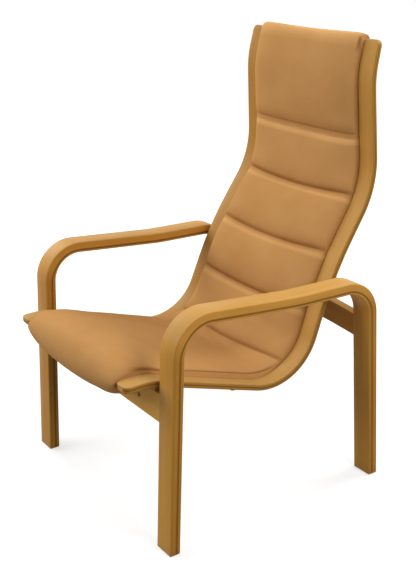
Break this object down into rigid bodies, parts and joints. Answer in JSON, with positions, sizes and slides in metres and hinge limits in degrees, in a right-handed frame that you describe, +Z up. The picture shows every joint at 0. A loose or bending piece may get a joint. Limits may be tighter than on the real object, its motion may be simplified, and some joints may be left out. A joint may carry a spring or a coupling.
{
  "type": "high-back lounge armchair",
  "caption": "Bentwood lounge armchair with two looped leg-and-arm frames and a channelled leather seat and high back on S-curved side rails.",
  "frame": {"origin": "on the floor, under the middle of the chair's overall width and depth", "axes": "+Z up, +X to the sitter's left, -Y the way the sitter faces"},
  "size_m": [0.62, 0.7106, 1.0448],
  "materials": {
    "bent_wood": "clear satin lacquer over laminated birch veneers",
    "solid_wood": "clear satin lacquer",
    "leather": "smooth semi-matt tan leather over padding",
    "lining": "plain woven lining",
    "webbing": "woven elastic webbing",
    "fixings": "zinc plated",
    "glides": "matt nylon"
  },
  "bodies": {
    "root": {"left_side_loop": "bent_wood", "right_side_loop": "bent_wood", "left_seat_rail": "bent_wood", "right_seat_rail": "bent_wood", "front_stretcher": "solid_wood", "rear_stretcher": "solid_wood", "support_rail": "solid_wood", "front_bar": "solid_wood", "top_bar": "solid_wood", "left_packing": "solid_wood", "right_packing": "solid_wood", "webbing_straps": "webbing", "back_lining": "lining", "seat_panel": "leather", "hip_panel": "leather", "lumbar_panel": "leather", "middle_panel": "leather", "shoulder_panel": "leather", "headrest_panel": "leather", "dowels": "solid_wood", "pegs": "solid_wood", "locating_pins": "solid_wood", "tie_bolts": "fixings", "barrel_nuts": "fixings", "support_screws": "fixings", "foot_glides": "glides"}
  },
  "joints": []
}
